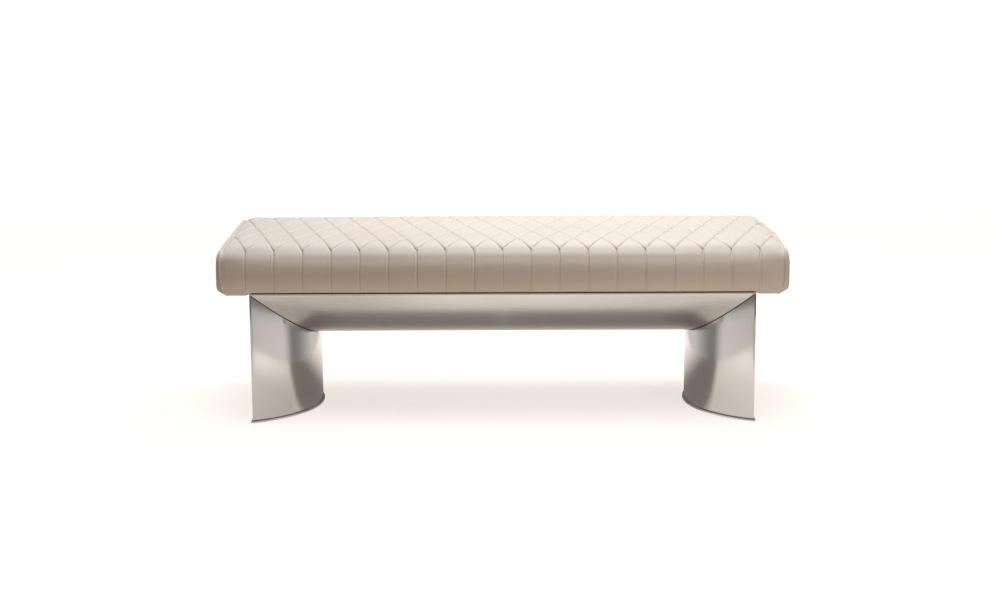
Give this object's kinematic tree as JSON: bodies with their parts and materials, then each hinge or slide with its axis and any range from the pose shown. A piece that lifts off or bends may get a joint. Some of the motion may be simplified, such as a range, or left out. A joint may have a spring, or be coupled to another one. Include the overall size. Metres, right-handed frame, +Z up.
{
  "type": "bench",
  "caption": "Long low bench: quilted leather cushion with piped ends on a half-round bent metal base with mitred corners and flat foot plates.",
  "frame": {"origin": "on the floor, under the middle of the bench", "axes": "+X along the bench to the right as seen from the front, -Y towards the front, +Z up"},
  "size_m": [1.4, 0.467, 0.454],
  "materials": {
    "brushed_metal": "brushed",
    "inner_steel": "matte",
    "screw_steel": "satin",
    "dark_rubber": "matte",
    "plywood": "matte",
    "foam": "matte",
    "wadding": "matte",
    "leather": "satin",
    "black_cloth": "matte"
  },
  "bodies": {
    "root": {"base_top_plate": "brushed_metal", "beam_shell": "brushed_metal", "left_leg_shell": "brushed_metal", "right_leg_shell": "brushed_metal", "left_leg_panel": "brushed_metal", "right_leg_panel": "brushed_metal", "left_mitre_frame": "inner_steel", "right_mitre_frame": "inner_steel", "beam_rib_left": "inner_steel", "beam_rib_centre": "inner_steel", "beam_rib_right": "inner_steel", "left_leg_rib": "inner_steel", "right_leg_rib": "inner_steel", "left_foot_flange": "inner_steel", "right_foot_flange": "inner_steel", "left_foot_gasket": "dark_rubber", "right_foot_gasket": "dark_rubber", "left_foot_plate": "brushed_metal", "right_foot_plate": "brushed_metal", "foot_screws": "screw_steel", "left_glide_pad": "dark_rubber", "right_glide_pad": "dark_rubber", "front_spacer_strip": "dark_rubber", "rear_spacer_strip": "dark_rubber", "left_spacer_strip": "dark_rubber", "right_spacer_strip": "dark_rubber", "seat_screws": "screw_steel", "seat_board": "plywood", "foam_core": "foam", "wadding_wrap": "wadding", "quilted_cover": "leather", "left_end_panel": "leather", "right_end_panel": "leather", "left_piping": "leather", "right_piping": "leather", "left_end_strip": "leather", "right_end_strip": "leather", "front_hem_band": "black_cloth", "rear_hem_band": "black_cloth", "under_cloth": "black_cloth", "hem_staples": "screw_steel"}
  },
  "joints": []
}
